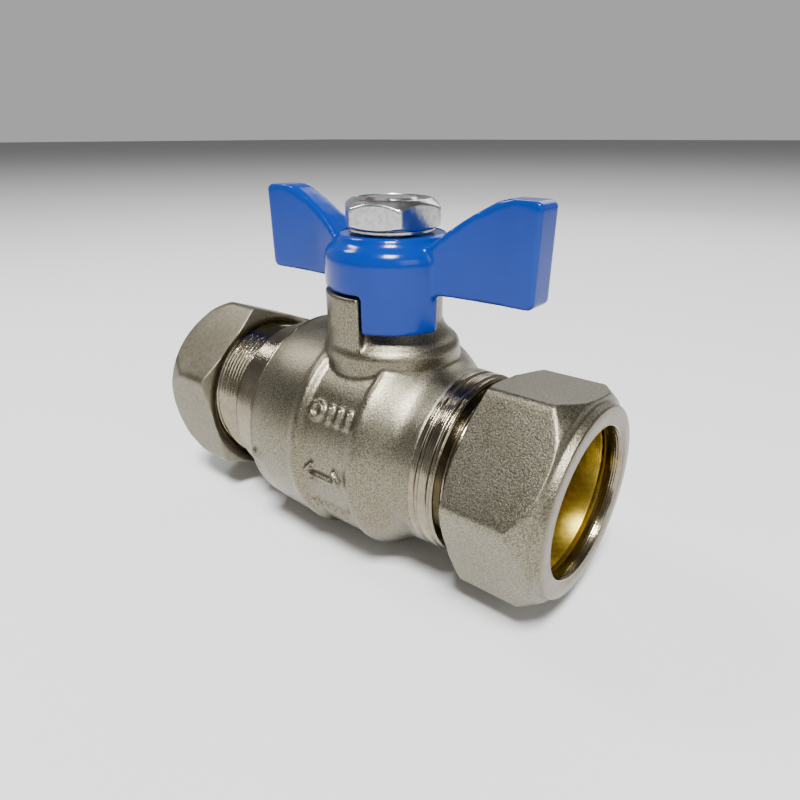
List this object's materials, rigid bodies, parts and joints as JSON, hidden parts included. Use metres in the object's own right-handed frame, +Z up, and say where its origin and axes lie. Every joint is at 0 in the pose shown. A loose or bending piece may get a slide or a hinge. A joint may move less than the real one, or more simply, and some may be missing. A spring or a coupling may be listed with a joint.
{
  "type": "water shutoff valve",
  "caption": "Quarter-turn ball valve for a water pipe, with a butterfly handle on top and a compression nut at each end of its bored body.",
  "frame": {"origin": "centre of the ball, where the pipe's axis crosses the stem's axis", "axes": "+X along the pipe towards the body's own threaded end, +Z up the stem to the handle, +Y completes a right-handed set"},
  "size_m": [0.0795, 0.0362, 0.0567],
  "materials": {
    "cast_nickel": "sand-cast brass under nickel plate, fine grain",
    "machined_nickel": "turned brass under bright nickel plate",
    "satin_nickel": "smooth satin nickel plate",
    "nut_nickel": "forged brass under nickel plate, fine grain",
    "seal_rubber": "moulded",
    "ball_chrome": "polished",
    "ptfe": "machined",
    "brass": "turned",
    "blue_enamel": "glossy enamel",
    "zinc_steel": "bright zinc plate",
    "locking_nylon": "moulded"
  },
  "bodies": {
    "valve_body": {"body": "cast_nickel", "end_connector": "machined_nickel", "connector_seal": "seal_rubber", "seat_left": "ptfe", "seat_right": "ptfe", "thrust_washer": "ptfe", "packing_ring": "ptfe", "gland_nut": "brass"},
    "spindle": {"handle": "blue_enamel", "handle_nut": "zinc_steel", "nut_locking_ring": "locking_nylon", "handle_washer": "zinc_steel", "stem": "brass", "stem_oring_lower": "seal_rubber", "stem_oring_upper": "seal_rubber", "ball": "ball_chrome"},
    "right_olive_body": {"right_olive": "brass"},
    "right_nut_body": {"right_nut": "nut_nickel"},
    "left_olive_body": {"left_olive": "brass"},
    "left_nut_body": {"left_nut": "satin_nickel"}
  },
  "joints": [
    {"name": "handle_turn", "type": "hinge", "parent": "valve_body", "child": "spindle", "pos_m": [0, 0, 0], "axis": [0, 0, 1], "range_deg": [0, 90]},
    {"name": "right_olive_slide", "type": "slide", "parent": "valve_body", "child": "right_olive_body", "axis": [1, 0, 0], "range_m": [0, 0.0056]},
    {"name": "right_nut_turn", "type": "hinge", "parent": "right_olive_body", "child": "right_nut_body", "pos_m": [0.028, 0, 0], "axis": [1, 0, 0], "range_deg": [0, 1080]},
    {"name": "left_olive_slide", "type": "slide", "parent": "valve_body", "child": "left_olive_body", "axis": [-1, 0, 0], "range_m": [0, 0.0056]},
    {"name": "left_nut_turn", "type": "hinge", "parent": "left_olive_body", "child": "left_nut_body", "pos_m": [-0.038, 0, 0], "axis": [-1, 0, 0], "range_deg": [0, 1080]}
  ],
  "couplings": [
    {"joint": "right_olive_slide", "follows": "right_nut_turn", "m_per_rad": 0.0002887},
    {"joint": "left_olive_slide", "follows": "left_nut_turn", "m_per_rad": 0.0002887}
  ]
}
